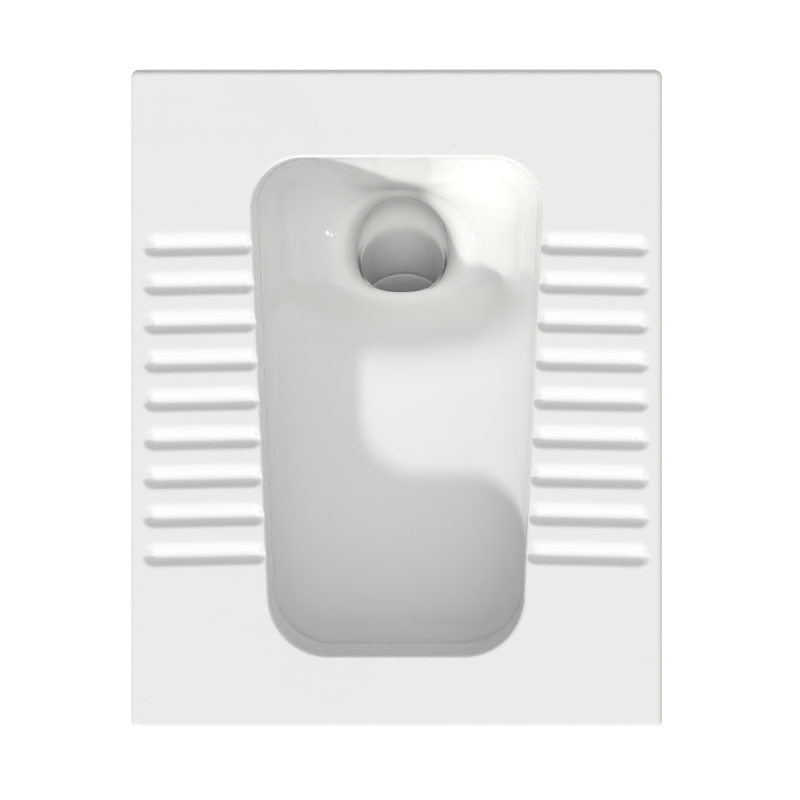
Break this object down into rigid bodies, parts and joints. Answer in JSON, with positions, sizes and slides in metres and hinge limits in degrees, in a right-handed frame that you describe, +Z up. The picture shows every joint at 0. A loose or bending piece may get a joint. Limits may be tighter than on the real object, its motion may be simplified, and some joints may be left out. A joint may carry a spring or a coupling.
{
  "type": "squat toilet",
  "caption": "Floor-set squat toilet: glazed pan with recessed foot treads, lipped bowl falling to a leaning outlet horn, water-seal trap, soil connector and flush connector.",
  "frame": {"origin": "centre of the deck in plan, on the surface under the trap's foot", "axes": "+Z up; +Y towards the outlet end of the bowl; +X across the deck, to the right in the picture"},
  "size_m": [0.5, 0.62, 0.391],
  "materials": {
    "glazed_china": "gloss glaze",
    "seal_rubber": "matt moulded rubber",
    "pipe_plastic": "smooth moulded plastic"
  },
  "bodies": {
    "root": {"pan": "glazed_china", "outlet_ring": "seal_rubber", "trap": "glazed_china", "soil_seal": "seal_rubber", "soil_connector": "pipe_plastic", "flush_connector": "seal_rubber"}
  },
  "joints": []
}
